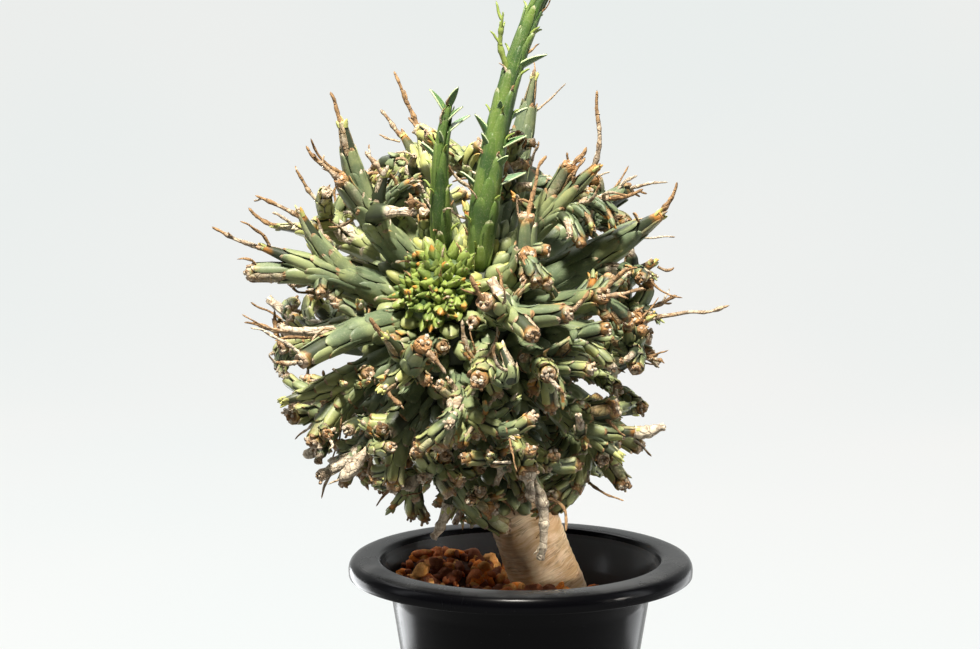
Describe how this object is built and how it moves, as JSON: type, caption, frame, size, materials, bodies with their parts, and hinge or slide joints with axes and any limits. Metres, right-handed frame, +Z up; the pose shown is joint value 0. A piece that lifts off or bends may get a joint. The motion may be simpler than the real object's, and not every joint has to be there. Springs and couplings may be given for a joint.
{
  "type": "potted euphorbia multiramosa",
  "caption": "Round many-stemmed succulent spurge with tubercled grey-green branches, dry flower stalks and a leaning pale trunk, in coarse gravel in a tapered plastic pot with a flared lip.",
  "frame": {"origin": "centre of the flat underside of the pot", "axes": "+Z up along the pot's axis, -Y towards the plant's front as pictured, +X to the right as seen from the front"},
  "size_m": [0.2139, 0.1741, 0.3868],
  "materials": {
    "pot_plastic": "glossy black injection-moulded plastic, dusty on the lip",
    "gravel": "rough dry reddish-brown and orange volcanic granules",
    "bark": "dry pale beige bark with fine wrinkles and scars",
    "stem_skin": "waxy grey-green tubercled skin with dark grooves and bleached, rusty ends",
    "fresh_growth": "smooth bright green new growth"
  },
  "bodies": {
    "root": {"pot": "pot_plastic", "gravel": "gravel", "trunk": "bark", "apex": "fresh_growth", "shoot_tall": "fresh_growth", "shoot_short": "fresh_growth", "stem_01": "stem_skin", "stem_02": "stem_skin", "stem_03": "stem_skin", "stem_04": "stem_skin", "stem_05": "stem_skin", "stem_06": "stem_skin", "stem_07": "stem_skin", "stem_08": "stem_skin", "stem_09": "stem_skin", "stem_10": "stem_skin", "stem_11": "stem_skin", "stem_12": "stem_skin", "stem_13": "stem_skin", "stem_14": "stem_skin", "stem_15": "stem_skin", "stem_16": "stem_skin", "stem_17": "stem_skin", "stem_18": "stem_skin", "stem_19": "stem_skin", "stem_20": "stem_skin", "stem_21": "stem_skin", "stem_22": "stem_skin", "stem_23": "stem_skin", "stem_24": "stem_skin", "stem_25": "stem_skin", "stem_26": "stem_skin", "stem_27": "stem_skin", "stem_28": "stem_skin", "stem_29": "stem_skin", "stem_30": "stem_skin", "stem_31": "stem_skin", "stem_32": "stem_skin", "stem_33": "stem_skin", "stem_34": "stem_skin", "stem_35": "stem_skin", "stem_36": "stem_skin", "stem_37": "stem_skin", "stem_38": "stem_skin", "stem_39": "stem_skin", "stem_40": "stem_skin", "stem_41": "stem_skin", "stem_42": "stem_skin", "stem_43": "stem_skin", "stem_44": "stem_skin", "stem_45": "stem_skin", "stem_46": "stem_skin", "stem_47": "stem_skin", "stem_48": "stem_skin", "stem_49": "stem_skin", "stem_50": "stem_skin", "stem_51": "stem_skin", "stem_52": "stem_skin", "stem_53": "stem_skin"}
  },
  "joints": []
}
